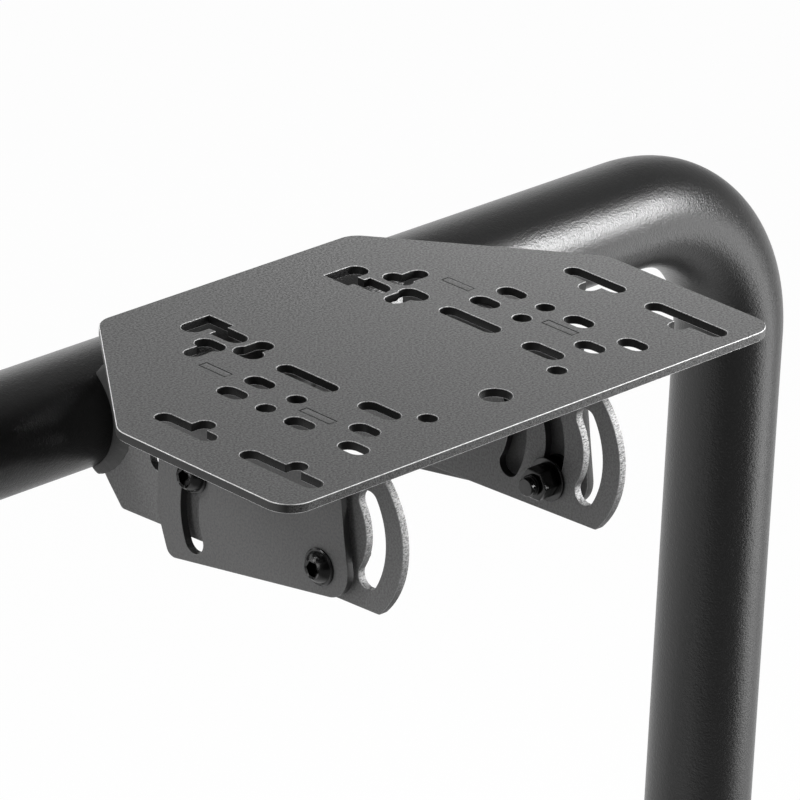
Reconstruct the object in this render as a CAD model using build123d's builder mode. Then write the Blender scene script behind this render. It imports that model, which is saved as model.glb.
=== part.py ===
from build123d import *
import math
import os

# Racing wheel stand: a bent tube hoop on two floor runners, with a slotted wheel deck that tilts
# between two plates welded to the top of the hoop.
# X runs along the top tube, -Y faces the driver, +Z is up. The origin is on the floor, in the
# plane of the hoop and midway between its legs.

# Tube frame
tube_diameter = 50.8
hoop_width = 690.0
hoop_bend_radius = 78.0
deck_height = 700.0
tube_drop = 49.6
runner_length = 620.0
cross_tube_diameter = 38.0
cross_tube_y = 190.0
foot_height = 9.0
foot_length = 60.0
foot_width = 44.0
foot_wrap = 12.0
foot_inset = 50.0
cope_gap = 0.1
cap_thickness = 6.0
cap_edge = 2.0

# Wheel deck, measured from its datum: the pattern's centre line, a fixed step in front of the tube
deck_reach = 141.2
deck_thickness = 4.0
deck_half_width = 141.5
deck_rear_half_width = 73.0
deck_front = 64.5
deck_rear = 119.5
deck_chamfer_start = 33.5
deck_corner_radius = 12.0
outer_column_x = 80.7
inner_column_x = 65.1
bolt_slot_width = 9.2
bolt_slot_length = 14.2
bolt_hole_diameter = 8.3
cable_hole_diameter = 13.8

# Side plates: the inner pair is welded to the tube, the outer pair hangs from the deck
plate_thickness = 4.0
frame_plate_x = 63.0
deck_plate_x = 70.0
tab_clearance = 0.15
nose_radius = 42.0
nose_y = -11.65
nose_z = -48.5
nose_top = 31.0
nose_bottom = 29.2
frame_plate_slope = 2.6
frame_plate_corner = 2.5
rear_hole_y = 89.6
rear_hole_z = -55.0
rear_hole_diameter = 10.0
deck_plate_front = -31.5
deck_plate_bottom = -73.6
deck_plate_slope = 9.6
deck_plate_rear = 82.3
deck_plate_heel = 7.8
deck_plate_rear_height = 68.5
deck_plate_nose_corner = 12.0
deck_plate_rear_corner = 5.0

# Screws
screw_diameter = 8.0
screw_fit = 0.05
hole_clearance = 0.25
spacer_diameter = 18.0
washer_diameter = 19.0
washer_thickness = 1.6
nut_across_flats = 13.0
nut_height = 8.0
thread_proud = 4.5
button_diameter = 16.0
button_height = 4.6
button_round = 3.4
cap_head_diameter = 13.0
cap_head_height = 8.0
cap_head_round = 1.8
socket_across_flats = 6.0
socket_depth = 3.2
running_gap = 0.3

# Pivot and slot screws, from the deck datum
pivot_y = -14.3
pivot_z = -63.8
slot_screw_y = 60.9
slot_screw_z = -49.5

# Arc slots: three at the front of each frame plate, level with the slot screw, and one in each
# deck plate, level with the pivot screw
arc_slot_width = 10.8
arc_slot_pitch = 21.8
arc_slot_radius = 31.3
arc_slot_apex = -16.5
arc_slot_top = 33.7
arc_slot_bottom = 29.0
tilt_slot_radius = 38.0
tilt_slot_apex = 63.0
tilt_slot_top = 25.0
tilt_slot_bottom = 24.2

tube_radius = tube_diameter / 2
runner_z = foot_height + tube_radius
tube_z = deck_height - tube_drop
datum_y = -deck_reach
leg_x = hoop_width / 2
os.makedirs("parts", exist_ok=True)


def save(piece, name):
    piece.part.label = name
    export_step(piece.part, f"parts/{name}.step")


def side_point(y, z):
    # A point of a side plate, given from the deck datum
    return (datum_y + y, deck_height + z)


# Top tube, between the two bends
with BuildPart() as top_tube:
    with BuildSketch(Plane.YZ.offset(-(leg_x - hoop_bend_radius))):
        with Locations((0, tube_z)):
            Circle(tube_radius)
    extrude(amount=2 * (leg_x - hoop_bend_radius))
save(top_tube, "top_tube")

for name, side in (("left", -1), ("right", 1)):
    bend_x = side * (leg_x - hoop_bend_radius)
    bend_z = tube_z - hoop_bend_radius

    # Corner bend
    with BuildPart() as bend:
        with BuildSketch(Plane.XY.offset(bend_z)):
            with Locations((side * leg_x, 0)):
                Circle(tube_radius)
        revolve(axis=Axis((bend_x, 0, bend_z), (0, -side, 0)), revolution_arc=90)
    save(bend, f"{name}_bend")

    # Leg, coped over the floor runner
    with BuildPart() as leg:
        with BuildSketch(Plane.XY.offset(runner_z)):
            with Locations((side * leg_x, 0)):
                Circle(tube_radius)
        extrude(amount=bend_z - runner_z)
        with BuildSketch(Plane.XZ.offset(-2 * tube_radius)):
            with Locations((side * leg_x, runner_z)):
                Circle(tube_radius + cope_gap)
        extrude(amount=4 * tube_radius, mode=Mode.SUBTRACT)
    save(leg, f"{name}_leg")

    # Floor runner
    with BuildPart() as runner:
        with BuildSketch(Plane.XZ.offset(-runner_length / 2)):
            with Locations((side * leg_x, runner_z)):
                Circle(tube_radius)
        extrude(amount=runner_length)
    save(runner, f"{name}_runner")

    for end_name, end in (("front", -1), ("rear", 1)):
        # End cap
        with BuildPart() as cap:
            with BuildSketch(Plane.XZ.offset(-end * runner_length / 2)):
                with Locations((side * leg_x, runner_z)):
                    Circle(tube_radius)
            extrude(amount=-end * cap_thickness)
            outer_face = cap.faces().sort_by(Axis.Y)[-1 if end > 0 else 0]
            fillet(outer_face.edges(), cap_edge)
        save(cap, f"{name}_{end_name}_cap")

        # Rubber foot, saddled round the underside of the runner
        foot_y = end * (runner_length / 2 - foot_inset)
        with BuildPart() as foot:
            with BuildSketch(Plane.XY):
                with Locations((side * leg_x, foot_y)):
                    RectangleRounded(foot_width, foot_length, 6)
            extrude(amount=foot_height + foot_wrap)
            with BuildSketch(Plane.XZ.offset(-foot_y - foot_length)):
                with Locations((side * leg_x, runner_z)):
                    Circle(tube_radius)
            extrude(amount=2 * foot_length, mode=Mode.SUBTRACT)
        save(foot, f"{name}_{end_name}_foot")

# Cross tube between the runners
with BuildPart() as cross_tube:
    with BuildSketch(Plane.YZ.offset(-leg_x)):
        with Locations((cross_tube_y, runner_z)):
            Circle(cross_tube_diameter / 2)
    extrude(amount=hoop_width)
    for side in (-1, 1):
        with BuildSketch(Plane.XZ.offset(-cross_tube_y - cross_tube_diameter)):
            with Locations((side * leg_x, runner_z)):
                Circle(tube_radius)
        extrude(amount=2 * cross_tube_diameter, mode=Mode.SUBTRACT)
save(cross_tube, "cross_tube")

# Wheel deck, with its bolt slots, holes, tab slots and keyed cut-outs
bolt_slots = (
    (outer_column_x, 30.9), (outer_column_x, -8.2), (outer_column_x, -39.0),
    (inner_column_x, 31.2), (inner_column_x, -29.4))
round_holes = ((inner_column_x, 9.7), (outer_column_x, 11.3), (37.4, -37.4))
long_slots = (
    (47.0, 22.1, 32.8, 8.4), (47.2, -19.8, 21.0, 9.2),
    (118.1, 18.4, 33.0, 8.2), (116.9, -35.2, 43.8, 9.0),
    (54.4, 71.9, 14.6, 9.3), (47.7, 56.1, 14.3, 9.6))
side_lobes = (
    (113.9, 15.0, 15.0, 8.6), (113.1, -37.4, 14.8, 8.4),
    (59.6, 70.4, 19.2, 8.2), (42.7, 57.4, 18.0, 9.0), (42.7, 89.6, 19.0, 10.2))
key_steps = ((38.0, 87.6, 9.6, 14.2), (41.3, 75.4, 9.9, 10.2))
key_ends = ((41.3, 70.3, 9.9),)
tabs = ((52.0, 15.0), (-7.7, 17.0))
with BuildPart() as deck:
    with BuildSketch(Plane.XY.offset(deck_height - deck_thickness)) as outline:
        with BuildLine():
            Polyline(
                (-deck_half_width, datum_y - deck_front),
                (deck_half_width, datum_y - deck_front),
                (deck_half_width, datum_y + deck_chamfer_start),
                (deck_rear_half_width, datum_y + deck_rear),
                (-deck_rear_half_width, datum_y + deck_rear),
                (-deck_half_width, datum_y + deck_chamfer_start),
                close=True,
            )
        make_face()
        fillet(outline.vertices(), deck_corner_radius)
    extrude(amount=deck_thickness)
    with BuildSketch(Plane.XY.offset(deck_height - deck_thickness)):
        for side in (-1, 1):
            for x, y in bolt_slots:
                with Locations((side * x, datum_y + y)):
                    SlotOverall(bolt_slot_length, bolt_slot_width, rotation=90)
            for x, y in round_holes:
                with Locations((side * x, datum_y + y)):
                    Circle(bolt_hole_diameter / 2)
            for x, y, length, width in long_slots:
                with Locations((side * x, datum_y + y)):
                    SlotOverall(length, width, rotation=90)
            for x, y, length, width in side_lobes:
                with Locations((side * x, datum_y + y)):
                    SlotOverall(length, width)
            for x, y, width, length in key_steps:
                with Locations((side * x, datum_y + y)):
                    Rectangle(width, length)
            for x, y, diameter in key_ends:
                with Locations((side * x, datum_y + y)):
                    Circle(diameter / 2)
            for y, length in tabs:
                with Locations((side * deck_plate_x, datum_y + y)):
                    Rectangle(plate_thickness + 2 * tab_clearance, length + 2 * tab_clearance)
        with Locations((0, datum_y - 39.0)):
            Circle(cable_hole_diameter / 2)
    extrude(amount=deck_thickness, mode=Mode.SUBTRACT)
save(deck, "deck")

pivot_at = side_point(pivot_y, pivot_z)
slot_screw_at = side_point(slot_screw_y, slot_screw_z)
frame_fall = math.tan(math.radians(frame_plate_slope))
deck_fall = math.tan(math.radians(deck_plate_slope))

# Corners of the frame plate: its nose is an arc, its rear is cut round the tube
nose_at = side_point(nose_y, nose_z)
nose_low = (nose_at[0] - math.sqrt(nose_radius**2 - nose_bottom**2), nose_at[1] - nose_bottom)
nose_high = (nose_at[0] - math.sqrt(nose_radius**2 - nose_top**2), nose_at[1] + nose_top)
horn = (-0.8 * tube_radius, nose_high[1] + frame_fall * (nose_high[0] + 0.8 * tube_radius))
heel = (-1.2 * tube_radius, nose_low[1] + frame_fall * (nose_low[0] + 1.2 * tube_radius))
heel_back = (-0.87 * tube_radius, tube_z - 1.02 * tube_radius)

# Corners of the deck plate
front_foot = side_point(deck_plate_front, deck_plate_bottom)
front_top = (front_foot[0] + deck_fall * (deck_height - deck_thickness - front_foot[1]),
             deck_height - deck_thickness)
rear_y = datum_y + deck_plate_rear
rear_top = (rear_y, deck_height - deck_thickness)
rear_step = (rear_y, deck_height - deck_thickness - deck_plate_rear_height)
rear_foot = (rear_y - deck_plate_heel,
             front_foot[1] - deck_fall * (rear_y - deck_plate_heel - front_foot[0]))

for name, side in (("left", -1), ("right", 1)):
    # Frame plate, welded to the tube, with the arc slots that the pivot screw can sit in
    with BuildPart() as frame_plate:
        with BuildSketch(Plane.YZ.offset(side * frame_plate_x - plate_thickness / 2)) as outline:
            with BuildLine():
                ThreePointArc(nose_low, (nose_at[0] - nose_radius, nose_at[1]), nose_high)
                Polyline(nose_high, horn, (-0.5 * tube_radius, tube_z + 0.8 * tube_radius),
                         (0, tube_z), heel_back, heel, nose_low)
            make_face()
            for corner in (nose_low, nose_high, horn, heel_back, heel):
                near = outline.vertices().sort_by_distance((corner[0], corner[1], 0))[0]
                fillet(near, frame_plate_corner)
            with Locations((0, tube_z)):
                Circle(tube_radius, mode=Mode.SUBTRACT)
            with Locations(slot_screw_at):
                Circle(screw_diameter / 2 + hole_clearance, mode=Mode.SUBTRACT)
            with Locations(side_point(rear_hole_y, rear_hole_z)):
                Circle(rear_hole_diameter / 2, mode=Mode.SUBTRACT)
            for step in (-1, 0, 1):
                centre_y = arc_slot_apex + arc_slot_radius + step * arc_slot_pitch
                centre = side_point(centre_y, slot_screw_z - frame_fall * step * arc_slot_pitch)
                with BuildLine(mode=Mode.PRIVATE) as path:
                    CenterArc(centre, arc_slot_radius, 180 - arc_slot_top,
                              arc_slot_top + arc_slot_bottom)
                SlotArc(path.edge(), arc_slot_width, mode=Mode.SUBTRACT)
        extrude(amount=plate_thickness)
    save(frame_plate, f"{name}_frame_plate")

    # Deck plate, tabbed up through the deck, with the tilt slot that rides on the slot screw
    with BuildPart() as deck_plate:
        with BuildSketch(Plane.YZ.offset(side * deck_plate_x - plate_thickness / 2)) as outline:
            with BuildLine():
                Polyline(front_top, front_foot, rear_foot, rear_step, rear_top, front_top)
            make_face()
            for corner, radius in (
                    (front_foot, deck_plate_nose_corner),
                    (rear_foot, deck_plate_rear_corner), (rear_step, deck_plate_rear_corner)):
                near = outline.vertices().sort_by_distance((corner[0], corner[1], 0))[0]
                fillet(near, radius)
            for y, length in tabs:
                with Locations(side_point(y, -deck_thickness / 2)):
                    Rectangle(length, deck_thickness)
            with Locations(pivot_at):
                Circle(screw_diameter / 2 + screw_fit, mode=Mode.SUBTRACT)
            with BuildLine(mode=Mode.PRIVATE) as path:
                CenterArc(side_point(tilt_slot_apex - tilt_slot_radius, pivot_z), tilt_slot_radius,
                          -tilt_slot_bottom, tilt_slot_top + tilt_slot_bottom)
            SlotArc(path.edge(), arc_slot_width, mode=Mode.SUBTRACT)
        extrude(amount=plate_thickness)
    save(deck_plate, f"{name}_deck_plate")

    # Screws, spacers, washers and nuts: the pivot set slides with the deck, the slot set stays
    plate_inner = frame_plate_x - plate_thickness / 2
    plate_outer = frame_plate_x + plate_thickness / 2
    head_seat = deck_plate_x + plate_thickness / 2 + running_gap
    room = deck_plate_x - frame_plate_x - plate_thickness
    for screw_name, at, head_diameter, head_height, head_round, gap in (
            ("pivot", pivot_at, button_diameter, button_height, button_round, running_gap),
            ("slot", slot_screw_at, cap_head_diameter, cap_head_height, cap_head_round, 0)):
        screw_end = plate_inner - gap - washer_thickness - nut_height - thread_proud
        with BuildPart() as screw:
            with BuildSketch(Plane.YZ.offset(side * screw_end)):
                with Locations(at):
                    Circle(screw_diameter / 2)
            extrude(amount=side * (head_seat - screw_end))
            with BuildSketch(Plane.YZ.offset(side * head_seat)):
                with Locations(at):
                    Circle(head_diameter / 2)
            extrude(amount=side * head_height)
            fillet(screw.faces().sort_by(Axis.X)[-1 if side > 0 else 0].edges(), head_round)
            with BuildSketch(Plane.YZ.offset(side * (head_seat + head_height))):
                with Locations(at):
                    RegularPolygon(socket_across_flats / 2, 6, major_radius=False)
            extrude(amount=-side * socket_depth, mode=Mode.SUBTRACT)
        save(screw, f"{name}_{screw_name}_screw")

        with BuildPart() as spacer:
            with BuildSketch(Plane.YZ.offset(side * (plate_outer + gap))):
                with Locations(at):
                    Circle(spacer_diameter / 2)
                    Circle(screw_diameter / 2 + screw_fit, mode=Mode.SUBTRACT)
            extrude(amount=side * (room - gap - running_gap))
        save(spacer, f"{name}_{screw_name}_spacer")

        with BuildPart() as washer:
            with BuildSketch(Plane.YZ.offset(side * (plate_inner - gap))):
                with Locations(at):
                    Circle(washer_diameter / 2)
                    Circle(screw_diameter / 2 + screw_fit, mode=Mode.SUBTRACT)
            extrude(amount=-side * washer_thickness)
        save(washer, f"{name}_{screw_name}_washer")

        with BuildPart() as nut:
            with BuildSketch(Plane.YZ.offset(side * (plate_inner - gap - washer_thickness))):
                with Locations(at):
                    RegularPolygon(nut_across_flats / 2, 6, major_radius=False)
                    Circle(screw_diameter / 2 + screw_fit, mode=Mode.SUBTRACT)
            extrude(amount=-side * nut_height)
        save(nut, f"{name}_{screw_name}_nut")
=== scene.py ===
import math

import bmesh
import bpy
from mathutils import Matrix, Vector


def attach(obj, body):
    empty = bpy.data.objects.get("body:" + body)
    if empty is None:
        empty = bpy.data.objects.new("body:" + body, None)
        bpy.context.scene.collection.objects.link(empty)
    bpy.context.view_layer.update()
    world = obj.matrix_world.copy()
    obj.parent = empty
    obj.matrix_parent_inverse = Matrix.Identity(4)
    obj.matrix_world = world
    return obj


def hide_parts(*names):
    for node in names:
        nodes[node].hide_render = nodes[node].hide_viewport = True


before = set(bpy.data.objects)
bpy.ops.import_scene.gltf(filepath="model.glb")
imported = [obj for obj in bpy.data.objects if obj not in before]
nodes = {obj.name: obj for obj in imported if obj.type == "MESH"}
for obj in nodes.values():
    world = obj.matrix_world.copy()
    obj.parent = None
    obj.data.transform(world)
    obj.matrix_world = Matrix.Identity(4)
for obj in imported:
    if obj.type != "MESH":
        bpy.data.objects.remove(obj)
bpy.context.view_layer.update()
SIDES = (("left", -1), ("right", 1))

# Sizes shared with the solids, in metres
TUBE_R = 0.0254
TUBE_Z = 0.6504
LEG_X = 0.345
RUNNER_Z = 0.0344
CROSS_Y = 0.190
CROSS_R = 0.019
PLATE_X = 0.063
PLATE_T = 0.004
DECK_PLATE_X = 0.070
RUNNING_GAP = 0.0003
WASHER_T = 0.0016
NUT_H = 0.008
SCREW_R = 0.004
THREAD_PROUD = 0.0045
PIVOT = (-0.1555, 0.6362)
SLOT = (-0.0803, 0.6505)
DECK_Y = -0.1412
DECK_Z = 0.700
DECK_FRONT = 0.0645
DECK_REAR = 0.1195
DECK_HALF_W = 0.1415
DECK_REAR_HALF_W = 0.0730
CHAMFER_WAY = (0.7825, 0.6233)
TABS = ((0.0520, 0.0150), (-0.0077, 0.0170))
TAB_GAP_SHADE_TONE = 0.004


# Shader helpers
class Value:
    """A socket that can be used in plain arithmetic."""

    def __init__(self, tree, socket):
        self.tree, self.socket = tree, socket

    def math(self, kind, *others):
        return self.tree.add("ShaderNodeMath", {"operation": kind}, dict(enumerate((self,) + others)))

    def __add__(self, other):
        return self.math("ADD", other)

    def __sub__(self, other):
        return self.math("SUBTRACT", other)

    def __mul__(self, other):
        return self.math("MULTIPLY", other)

    def __neg__(self):
        return self.math("MULTIPLY", -1.0)

    def __rsub__(self, other):
        return (-self) + other

    __radd__ = __add__
    __rmul__ = __mul__

    def ramp(self, low, high):
        """0 at low and 1 at high, held outside them."""
        return self.tree.add("ShaderNodeMapRange", {"clamp": True},
                             {"Value": self, "From Min": low, "From Max": high})


class Graph:
    """The node tree of a material or of the world, filled through one method."""

    def __init__(self, owner):
        owner.use_nodes = True
        self.owner = owner
        self.nodes = owner.node_tree.nodes
        self.links = owner.node_tree.links
        self.nodes.clear()

    def add(self, kind, settings=None, inputs=None, output=0):
        node = self.nodes.new(kind)
        for key, value in (settings or {}).items():
            setattr(node, key, value)
        for key, value in (inputs or {}).items():
            socket = node.inputs[key]
            if isinstance(value, Value):
                self.links.new(value.socket, socket)
            else:
                socket.default_value = value
        return Value(self, node.outputs[output]) if len(node.outputs) else None

    def place(self):
        return self.add("ShaderNodeTexCoord", output="Object")

    def axis(self, vector, axis):
        return self.add("ShaderNodeSeparateXYZ", None, {0: vector}, axis)

    def noise(self, scale, detail, rough, along=None):
        return self.add("ShaderNodeTexNoise", None,
                        {"Vector": along or self.place(), "Scale": scale, "Detail": detail,
                         "Roughness": rough})

    def blend(self, fac, a, b):
        return self.add("ShaderNodeMix", {"data_type": "RGBA"}, {0: fac, 6: a, 7: b}, 2)

    def bump(self, height, strength, distance):
        return self.add("ShaderNodeBump", None,
                        {"Strength": strength, "Distance": distance, "Height": height})

    def surface(self, **inputs):
        named = {key.replace("_", " "): value for key, value in inputs.items()}
        shader = self.add("ShaderNodeBsdfPrincipled", None, named)
        self.add("ShaderNodeOutputMaterial", None, {"Surface": shader})
        return self.owner


def new_material(name):
    return Graph(bpy.data.materials.new(name))


def grey(tone):
    return (tone, tone, tone, 1.0)


# Satin black powder coat of the tubes: a fine orange peel under a soft sheen
def make_tube_coat():
    g = new_material("tube_coat")
    grain = g.noise(1100.0, 2.0, 0.6)
    peel = g.noise(420.0, 2.0, 0.5)
    cloud = g.noise(9.0, 3.0, 0.55)
    base = g.blend(cloud, grey(0.0015), grey(0.0030))
    base = g.blend(grain.ramp(0.58, 0.74) * 0.5, base, grey(0.014))
    rough = 0.24 + cloud * 0.05 + grain * 0.12
    height = grain * 0.8 + peel * 0.5
    return g.surface(Base_Color=base, Roughness=rough, Specular_IOR_Level=0.62,
                     Normal=g.bump(height, 0.90, 0.00025))


# Fine textured coat of the plates: faces, cut walls in painted shade, and the arris between them,
# worn and with a painted highlight.
# across is the axis that a plate's faces look along, bare_wall says which walls are left as cut,
# and outline says where the arris highlight runs unbroken and where the cut walls are spared the
# painted shade.
def make_plate_coat(name, across, face_tone, wall_shade_tone, arris_wear_highlight_tone, bare_tone, bare_wall,
                    grit, sheen, stretch, outline=None):
    g = new_material(name)
    facing = g.add("ShaderNodeNewGeometry", output="True Normal")
    normal = g.add("ShaderNodeVectorTransform",
                   {"vector_type": "NORMAL", "convert_from": "WORLD", "convert_to": "OBJECT"},
                   {0: facing})
    part = g.axis(normal, across).math("ABSOLUTE")
    wall = 1.0 - part.ramp(0.30, 0.60)
    arris = part.ramp(0.30, 0.60) * (1.0 - part.ramp(0.80, 0.95))
    grain = g.noise(1000.0, 3.0, 0.7)
    squeeze = tuple(stretch if axis == across else 1.0 for axis in range(3))
    cut_lines = g.add("ShaderNodeVectorMath", {"operation": "MULTIPLY"}, {0: g.place(), 1: squeeze})
    fleck = g.noise(1700.0, 3.0, 0.75, along=cut_lines)
    cloud = g.noise(14.0, 3.0, 0.6)
    face = g.blend(cloud, grey(face_tone * 0.94), grey(face_tone * 1.06))
    face = g.blend(grain.ramp(0.45, 0.62) * grit, face, grey(face_tone * 2.0))
    face = g.blend(grain.ramp(0.50, 0.36) * grit, face, grey(face_tone * 0.25))
    bare = g.blend(fleck.ramp(0.35, 0.65), grey(bare_tone * 0.10), grey(bare_tone * 1.4))
    rim = outline(g) if outline else fleck * 0.0
    # Painted shade: cut walls take the dark wall shade tone, save along the deck's outline, which
    # keeps a lighter tone
    cut = g.blend(rim, grey(wall_shade_tone), grey(face_tone * 0.8))
    cut = g.blend(bare_wall(g, normal), cut, bare)
    base = g.blend(wall, face, cut)
    # Painted highlight along the arris, partly wear: broken into chips round holes and unbroken along
    # the deck's outline
    chips = fleck.ramp(0.34, 0.66)
    wear_and_highlight = (chips * 0.55).math("MAXIMUM", rim * (0.50 + chips * 0.60))
    base = g.blend(arris * wear_and_highlight, base, grey(arris_wear_highlight_tone))
    # Painted shade on the arris in the narrow gap round each tab
    base = g.blend(arris * tab_groove(g), base, grey(TAB_GAP_SHADE_TONE))
    rough = 0.50 + grain * 0.12 - arris * 0.12 - wall * 0.15
    height = grain * 0.8 + wall * fleck * 1.2
    return g.surface(Base_Color=base, Roughness=rough, Specular_IOR_Level=sheen,
                     Normal=g.bump(height, 0.40, 0.00025))


# 1 on the deck's front edge, 0 on its other walls
def deck_front_wall(g, normal):
    return (DECK_Y - DECK_FRONT + 0.0040 - g.axis(g.place(), 1)).ramp(0.0, 0.002)


# 1 along the deck's outline, 0 round its holes
def deck_outline(g):
    place = g.place()
    x = g.axis(place, 0).math("ABSOLUTE")
    y = g.axis(place, 1)
    rear_gap = DECK_Y + DECK_REAR - y
    chamfer_gap = rear_gap * CHAMFER_WAY[1] - (x - DECK_REAR_HALF_W) * CHAMFER_WAY[0]
    gap = (DECK_HALF_W - x).math("MINIMUM", y - (DECK_Y - DECK_FRONT)).math("MINIMUM", rear_gap)
    return 1.0 - gap.math("MINIMUM", chamfer_gap).ramp(0.001, 0.004)


# 1 along the narrow gap round each tab, which lies in shade
def tab_groove(g):
    place = g.place()
    x, y, z = (g.axis(place, axis) for axis in range(3))
    off_plate = (x.math("ABSOLUTE") - DECK_PLATE_X).math("ABSOLUTE").ramp(0.0030, 0.0034)
    off_tab = None
    for middle, length in TABS:
        past_end = (y - (DECK_Y + middle)).math("ABSOLUTE")
        gap = past_end.ramp(length / 2 + 0.0008, length / 2 + 0.0012)
        off_tab = gap if off_tab is None else off_tab * gap
    return (1.0 - off_plate) * (1.0 - off_tab) * z.ramp(DECK_Z - 0.0025, DECK_Z - 0.0015)


# 1 on the tops of the tabs, which are finished with the deck
def tab_top(g, normal):
    return g.axis(normal, 2).ramp(0.5, 0.9)


# 1 on the nose of a frame plate and on the walls of its foremost slot, save where they face down;
# those keep the dark wall tone as painted shade
def nose_wall(g, normal):
    foremost = (DECK_Y - 0.0200 - g.axis(g.place(), 1)).ramp(0.0, 0.004)
    return foremost * g.axis(normal, 2).ramp(-0.50, 0.15)


# Black oxide steel of the screws, nuts and washers
def make_black_oxide():
    g = new_material("black_oxide")
    grain = g.noise(2600.0, 2.0, 0.6)
    cloud = g.noise(160.0, 2.0, 0.5)
    base = g.blend(cloud, grey(0.036), grey(0.075))
    rough = 0.13 + cloud * 0.10 + grain * 0.06
    return g.surface(Base_Color=base, Metallic=1.0, Roughness=rough,
                     Normal=g.bump(grain, 0.20, 0.0002))


# Moulded plastic of the end caps and rubber of the feet
def make_moulded(name, tone, scale, rough_low):
    g = new_material(name)
    grain = g.noise(scale, 2.0, 0.6)
    cloud = g.noise(30.0, 2.0, 0.5)
    base = g.blend(cloud, grey(tone * 0.85), grey(tone * 1.2))
    return g.surface(Base_Color=base, Roughness=rough_low + grain * 0.15,
                     Normal=g.bump(grain, 0.35, 0.0003))


# Weld beads: a coat over a softly rippled surface
def make_weld_coat(name, tone):
    g = new_material(name)
    grain = g.noise(1000.0, 2.0, 0.6)
    lumps = g.noise(240.0, 2.0, 0.5)
    base = g.blend(lumps, grey(tone * 0.8), grey(tone * 1.2))
    return g.surface(Base_Color=base, Roughness=0.48 + grain * 0.12,
                     Normal=g.bump(grain * 0.5 + lumps * 0.8, 0.8, 0.0004))


tube_coat = make_tube_coat()
deck_coat = make_plate_coat("deck_coat", across=2, face_tone=0.059, wall_shade_tone=0.006, arris_wear_highlight_tone=0.95,
                            bare_tone=0.085, bare_wall=deck_front_wall, grit=0.65, sheen=0.25,
                            stretch=1.0, outline=deck_outline)
nose_coat = make_plate_coat("nose_coat", across=0, face_tone=0.142, wall_shade_tone=0.014, arris_wear_highlight_tone=0.40,
                            bare_tone=0.46, bare_wall=nose_wall, grit=0.30, sheen=0.5, stretch=0.45)
side_coat = make_plate_coat("side_coat", across=0, face_tone=0.116, wall_shade_tone=0.012, arris_wear_highlight_tone=0.20,
                            bare_tone=0.060, bare_wall=tab_top, grit=0.20, sheen=0.5, stretch=0.45)
black_oxide = make_black_oxide()
cap_plastic = make_moulded("cap_plastic", 0.03, 1100.0, 0.42)
foot_rubber = make_moulded("foot_rubber", 0.022, 800.0, 0.62)
plate_weld_coat = make_weld_coat("plate_weld_coat", 0.052)
tube_weld_coat = make_weld_coat("tube_weld_coat", 0.016)


def coat_of(name):
    if name == "deck":
        return deck_coat
    if name.endswith("_frame_plate"):
        return nose_coat
    if name.endswith("_plate"):
        return side_coat
    if name.endswith("_cap"):
        return cap_plastic
    if name.endswith("_foot"):
        return foot_rubber
    if name.endswith(("_screw", "_nut", "_washer", "_spacer")):
        return black_oxide
    return tube_coat


for name, piece in nodes.items():
    for slot in piece.material_slots:
        slot.material = coat_of(name)

# Small broken edges on the plates, nuts and washers, which catch the light
BROKEN_EDGES = {"deck": 0.00029, "plate": 0.00029, "nut": 0.00060, "washer": 0.00030}

for name in nodes:
    kind = name.split("_")[-1]
    if kind not in BROKEN_EDGES:
        continue
    joined = nodes[name].modifiers.new("joined_faces", "WELD")
    joined.merge_threshold = 0.00001
    flats = nodes[name].modifiers.new("whole_faces", "DECIMATE")
    flats.decimate_type = "DISSOLVE"
    flats.angle_limit = math.radians(0.5)
    bevel = nodes[name].modifiers.new("broken_edge", "BEVEL")
    bevel.width = BROKEN_EDGES[kind]
    bevel.segments = 1
    bevel.limit_method = "ANGLE"
    bevel.angle_limit = math.radians(50)
    bevel.use_clamp_overlap = False
    shading = nodes[name].modifiers.new("flat_faces", "WEIGHTED_NORMAL")
    shading.weight = 100


# Mesh pieces
def add_piece(name, mesh_data, material, body):
    piece = bpy.data.objects.new(name, mesh_data)
    bpy.context.scene.collection.objects.link(piece)
    mesh_data.materials.append(material)
    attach(piece, body)
    return piece


def sweep(name, rings, closed_ring, closed_path, material, body):
    """A skin over a list of rings of points, all with the same count."""
    bm = bmesh.new()
    grid = [[bm.verts.new(p) for p in ring] for ring in rings]
    count = len(rings[0])
    steps = len(grid) if closed_path else len(grid) - 1
    for i in range(steps):
        a, b = grid[i], grid[(i + 1) % len(grid)]
        for j in range(count if closed_ring else count - 1):
            k = (j + 1) % count
            bm.faces.new((a[j], a[k], b[k], b[j]))
    if closed_ring and not closed_path:
        bm.faces.new(list(reversed(grid[0])))
        bm.faces.new(grid[-1])
    bmesh.ops.recalc_face_normals(bm, faces=bm.faces)
    data = bpy.data.meshes.new(name)
    bm.to_mesh(data)
    bm.free()
    for face in data.polygons:
        face.use_smooth = True
    return add_piece(name, data, material, body)


# Weld beads: ripples, the run-out at a bead's ends, how deep it roots and how far its face is crowned
RIPPLE_DEPTH = 0.015
RIPPLE_PITCH = 0.0034
RUN_OUT = 0.045
ROOT_DEPTH = 0.0006
CROWN = 0.10


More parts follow.
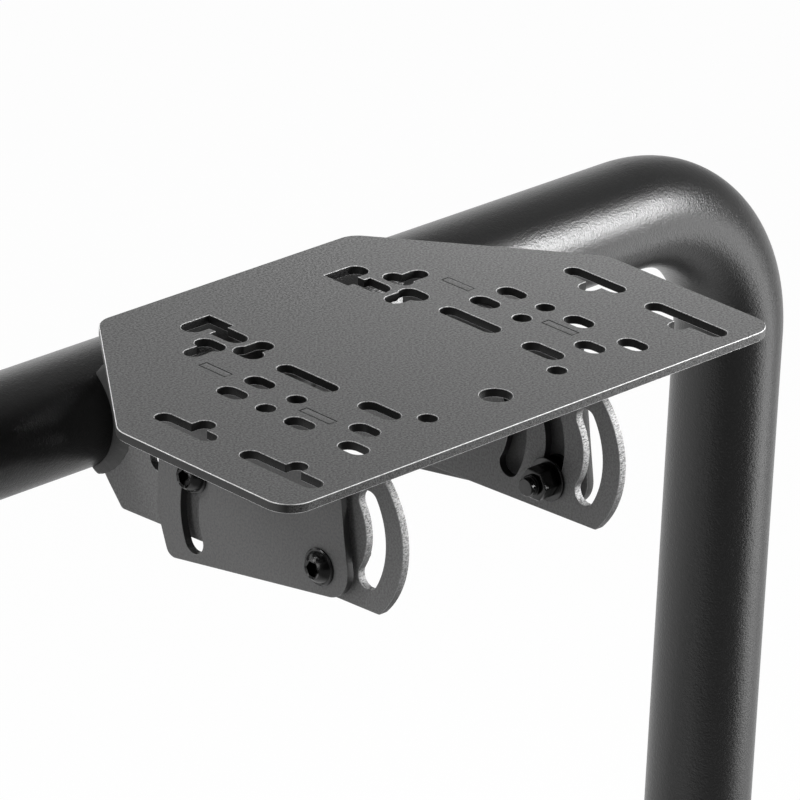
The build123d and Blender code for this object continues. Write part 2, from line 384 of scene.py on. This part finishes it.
def bead(name, path, outs, ups, out_legs, up_leg, closed, coat):
    """A weld bead along a path; outs and ups are the unit directions along the two welded faces."""
    rings = []
    run = 0.0
    for i, (p, out, up, out_leg) in enumerate(zip(path, outs, ups, out_legs)):
        if i:
            run += (Vector(path[i]) - Vector(path[i - 1])).length
        size = 1.0 + RIPPLE_DEPTH * math.sin(run * 2 * math.pi / RIPPLE_PITCH)
        if not closed:
            near = min(i, len(path) - 1 - i) / (RUN_OUT * len(path))
            size *= math.sqrt(max(0.02, 1.0 - (1.0 - min(1.0, near)) ** 2))
        p, out, up = Vector(p), Vector(out), Vector(up)
        ring = [p - (out + up) * ROOT_DEPTH]
        for k in range(9):
            a = math.pi / 2 * k / 8
            reach = out * math.cos(a) ** 2 * out_leg + up * math.sin(a) ** 2 * up_leg
            bulge = 1.0 + CROWN * math.sin(2 * a) ** 2
            ring.append(p + reach * size * bulge)
        rings.append(ring)
    return sweep(name, rings, True, closed, coat, "frame")


# Welds between the frame plates and the top tube, on both faces of each plate. Angles are in degrees
# round the tube, from its rear over its top, and a bead narrows from WELD_NARROWS on.
WELD_START, WELD_NARROWS, WELD_END = 122, 192, 241
PLATE_LEG, PLATE_END_LEG, TUBE_LEG = 0.0088, 0.0032, 0.0014

for side_name, side in SIDES:
    for face_name, face in (("outer", 1), ("inner", -1)):
        x = side * (PLATE_X + face * PLATE_T / 2)
        path, outs, ups, legs = [], [], [], []
        steps = 170
        for i in range(steps + 1):
            degrees = WELD_START + (WELD_END - WELD_START) * i / steps
            a = math.radians(degrees)
            radial = (0, math.cos(a), math.sin(a))
            path.append((x, TUBE_R * radial[1], TUBE_Z + TUBE_R * radial[2]))
            outs.append(radial)
            ups.append((side * face, 0, 0))
            past = max(0.0, (degrees - WELD_NARROWS) / (WELD_END - WELD_NARROWS))
            legs.append(PLATE_LEG - (PLATE_LEG - PLATE_END_LEG) * past)
        bead(f"{side_name}_plate_weld_{face_name}", path, outs, ups, legs, TUBE_LEG, False,
             plate_weld_coat)


# Saddle welds where a round member meets a runner
def saddle(name, centre, along, across, normal, member_r, runner_r, leg):
    centre, along, across, normal = Vector(centre), Vector(along), Vector(across), Vector(normal)
    path, outs, ups = [], [], []
    steps = 220
    for i in range(steps):
        a = 2 * math.pi * i / steps
        u, v = member_r * math.cos(a), member_r * math.sin(a)
        drop = math.sqrt(max(runner_r ** 2 - v ** 2, (0.12 * runner_r) ** 2))
        path.append(centre + along * u + across * v + normal * drop)
        side_way = (along * math.cos(a) + across * math.sin(a)).normalized()
        face = (across * v + normal * drop).normalized()
        out = side_way - face * side_way.dot(face)
        out = out.normalized() if out.length > 0.2 else (side_way * 0.6 - normal * 0.8).normalized()
        outs.append(out)
        ups.append(normal)
    return bead(name, path, outs, ups, [leg] * steps, leg, True, tube_weld_coat)


# The leg is as wide as the runner, so its bead starts a little inside it and stays within that width
LEG_BEAD_R = TUBE_R * 0.92
LEG_BEAD, CROSS_BEAD = 0.0045, 0.0050

for side_name, side in SIDES:
    saddle(f"{side_name}_leg_weld", (side * LEG_X, 0, RUNNER_Z), (0, 1, 0), (1, 0, 0), (0, 0, 1),
           LEG_BEAD_R, TUBE_R, LEG_BEAD)
    saddle(f"{side_name}_cross_weld", (side * LEG_X, CROSS_Y, RUNNER_Z), (0, 1, 0), (0, 0, 1),
           (-side, 0, 0), CROSS_R, TUBE_R, CROSS_BEAD)


# Screws with domed, flanged heads, in place of the plain ones
FLANGE_R, FLANGE_HIGH = 0.0080, 0.0011
DOME_R, SOCKET_RIM_R = 0.0070, 0.0041
SOCKET_HALF, SOCKET_DEPTH = 0.0031, 0.0032
CHAMFER = 0.0004


def make_screw(name, side, end_x, y, z, head_high, socket_turn, body):
    seat_x = DECK_PLATE_X + PLATE_T / 2 + RUNNING_GAP
    flange_x = seat_x + FLANGE_HIGH
    head_x = seat_x + head_high
    # A profile's point is a place along the screw, a radius, and whether the ring is six-sided there
    profile = [(end_x, SCREW_R - CHAMFER, False), (end_x + CHAMFER, SCREW_R, False),
               (seat_x, SCREW_R, False), (seat_x, FLANGE_R, False),
               (flange_x - CHAMFER, FLANGE_R, False), (flange_x, FLANGE_R - CHAMFER, False)]
    dome_high = head_high - FLANGE_HIGH
    centre_x = flange_x + (dome_high ** 2 + SOCKET_RIM_R ** 2 - DOME_R ** 2) / (2 * dome_high)
    ball_r = math.hypot(DOME_R, centre_x - flange_x)
    start = math.acos((flange_x - centre_x) / ball_r)
    end = math.asin(SOCKET_RIM_R / ball_r)
    for k in range(13):
        a = start + (end - start) * k / 12
        profile.append((centre_x + ball_r * math.cos(a), ball_r * math.sin(a), False))
    profile += [(head_x - CHAMFER, SOCKET_HALF, True), (head_x - SOCKET_DEPTH, SOCKET_HALF, True)]
    count = 96
    rings = []
    for x, r, six_sided in profile:
        ring = []
        for i in range(count):
            a = 2 * math.pi * i / count
            corner = (a + math.radians(30 + socket_turn)) % math.radians(60) - math.radians(30)
            reach = r / math.cos(corner) if six_sided else r
            ring.append((side * x, y + reach * math.cos(a), z + reach * math.sin(a)))
        rings.append(ring)
    screw = sweep(f"{name}_head", rings, True, False, black_oxide, body)
    screw.data.set_sharp_from_angle(angle=math.radians(28))
    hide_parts(name)


# The four screws, each with the thread that stands proud of its nut
THREAD_TURNS, THREAD_PITCH, THREAD_HIGH = 2.2, 0.00125, 0.00062
THREAD_ROOT, THREAD_HALF_W = 0.0003, 0.00052
PER_TURN = 40

for side_name, side in SIDES:
    for screw_name, (y, z), gap, head_high, socket_turn, body in (
            ("pivot", PIVOT, RUNNING_GAP, 0.0046, 30, "pivot_screws"),
            ("slot", SLOT, 0.0, 0.0056, 15, "frame")):
        nut_face = PLATE_X - PLATE_T / 2 - gap - WASHER_T - NUT_H
        make_screw(f"{side_name}_{screw_name}_screw", side, nut_face - THREAD_PROUD, y, z,
                   head_high, socket_turn, body)
        rings = []
        count = int(THREAD_TURNS * PER_TURN)
        for i in range(count + 1):
            a = 2 * math.pi * i / PER_TURN
            x = side * (nut_face - 0.0002 - THREAD_PITCH * i / PER_TURN)
            taper = min(1.0, 8.0 * min(i, count - i) / count + 0.05)
            ring = []
            for dx, dr in ((THREAD_HALF_W, -THREAD_ROOT), (0.0, THREAD_HIGH * taper),
                           (-THREAD_HALF_W, -THREAD_ROOT)):
                r = SCREW_R + dr
                ring.append((x + dx, y + r * math.cos(a), z + r * math.sin(a)))
            rings.append(ring)
        sweep(f"{side_name}_{screw_name}_thread", rings, True, False, black_oxide,
              body)


# Pale floor, a hair below the feet: near white to the camera, matte to the lamps, and in the gloss a
# painted reflection that glows white behind the stand and dark in front
FLOOR_REACH = 7.0
FLOOR_Z = -0.0002


def make_floor():
    bm = bmesh.new()
    bm.faces.new([bm.verts.new((x * FLOOR_REACH, y * FLOOR_REACH, FLOOR_Z))
                  for x, y in ((-1, -1), (1, -1), (1, 1), (-1, 1))])
    data = bpy.data.meshes.new("floor")
    bm.to_mesh(data)
    bm.free()
    floor = bpy.data.objects.new("floor", data)
    bpy.context.scene.collection.objects.link(floor)
    g = new_material("floor_paint")
    camera_ray = g.add("ShaderNodeLightPath", output="Is Camera Ray")
    glossy_ray = g.add("ShaderNodeLightPath", output="Is Glossy Ray")
    # Painted reflection: to glossy rays the floor glows, white behind the stand and dark grey in
    # front
    gloss_glow_behind = g.axis(g.place(), 1).ramp(-0.55, -0.18)
    reflection_glow_tone = g.blend(glossy_ray * (1.0 - gloss_glow_behind), grey(1.0), grey(0.22))
    seen = (camera_ray * 0.97).math("MAXIMUM", glossy_ray)
    matte = g.add("ShaderNodeBsdfDiffuse", None, {"Color": grey(0.80)})
    glow = g.add("ShaderNodeEmission", None, {"Color": reflection_glow_tone, "Strength": 1.0})
    mixed = g.add("ShaderNodeMixShader", None, {0: seen, 1: matte, 2: glow})
    g.add("ShaderNodeOutputMaterial", None, {"Surface": mixed})
    data.materials.append(g.owner)


make_floor()


# Lamps: soft boxes that the camera doesn't see, each given as width by height and a power in watts
def area_light(name, place, aim, width, height, power):
    data = bpy.data.lights.new(name, "AREA")
    data.shape = "RECTANGLE"
    data.size = width
    data.size_y = height
    data.energy = power
    lamp = bpy.data.objects.new(name, data)
    lamp.location = place
    lamp.rotation_euler = (Vector(aim) - Vector(place)).to_track_quat("-Z", "Y").to_euler()
    bpy.context.scene.collection.objects.link(lamp)
    lamp.visible_camera = False
    return lamp


area_light("top_box", (-0.1, 0.2, 2.4), (0.0, 0.0, 0.6), 1.2, 1.2, 3.0)
area_light("right_box", (0.75, -0.65, 0.935), (0.75, 0.0, 0.635), 0.42, 0.42, 17.5)
area_light("right_strip", (0.94, -0.56, 0.28), (LEG_X, 0.0, 0.45), 0.50, 0.60, 3.0)
area_light("left_box", (-2.4, -0.4, 1.3), (0.0, 0.0, 0.6), 1.2, 1.2, 10.0)
area_light("left_key", (-1.456, 0.802, 2.06), (-0.07, -0.155, 0.64), 0.70, 0.70, 16.0)
deck_fill = area_light("deck_fill", (0.40, 0.10, 1.00), (0.0, -0.14, 0.70), 0.25, 0.25, 5.2)
deck_fill.visible_glossy = False


# World: white to the camera. In the gloss it is bright behind the stand and dark in front of it.
ROOM_LEVEL = 0.32


def make_world():
    world = bpy.data.worlds.new("studio")
    bpy.context.scene.world = world
    g = Graph(world)
    way = g.add("ShaderNodeTexCoord", output="Generated")
    behind = g.axis(way, 1)
    sheen = 0.04 + behind.ramp(-0.8, 0.5) * 0.36 + behind.ramp(0.5, 0.8) * 0.95
    camera_ray = g.add("ShaderNodeLightPath", output="Is Camera Ray")
    glossy_ray = g.add("ShaderNodeLightPath", output="Is Glossy Ray")
    level = ROOM_LEVEL + glossy_ray * (sheen - ROOM_LEVEL)
    level = level + camera_ray * (1.0 - level)
    sky = g.add("ShaderNodeBackground", None, {"Color": grey(1.0), "Strength": level})
    g.add("ShaderNodeOutputWorld", None, {"Surface": sky})


make_world()

# Camera, at the photograph's place and angle, with its focal length in pixels of an 800-pixel frame
CAMERA_AT = (-1.84842, -1.92284, 1.82071)
CAMERA_TURN = (-45.815, 23.884, 2.505)
FOCAL_PIXELS, FRAME_PIXELS = 6861.86, 800.0
SENSOR_WIDTH = 36.0

azimuth, elevation, roll = (math.radians(angle) for angle in CAMERA_TURN)
ahead = Vector((-math.sin(azimuth) * math.cos(elevation), math.cos(azimuth) * math.cos(elevation),
                -math.sin(elevation)))
level = Vector((math.cos(azimuth), math.sin(azimuth), 0))
above = level.cross(ahead)
right = level * math.cos(roll) + above * math.sin(roll)
up = above * math.cos(roll) - level * math.sin(roll)
camera_data = bpy.data.cameras.new("camera")
camera_data.sensor_width = SENSOR_WIDTH
camera_data.lens = SENSOR_WIDTH * FOCAL_PIXELS / FRAME_PIXELS
camera_data.clip_end = 60.0
camera = bpy.data.objects.new("camera", camera_data)
turn = Matrix((right, up, -ahead)).transposed().to_4x4()
camera.matrix_world = Matrix.Translation(CAMERA_AT) @ turn
bpy.context.scene.collection.objects.link(camera)
bpy.context.scene.camera = camera
bpy.context.scene.view_settings.view_transform = "Standard"
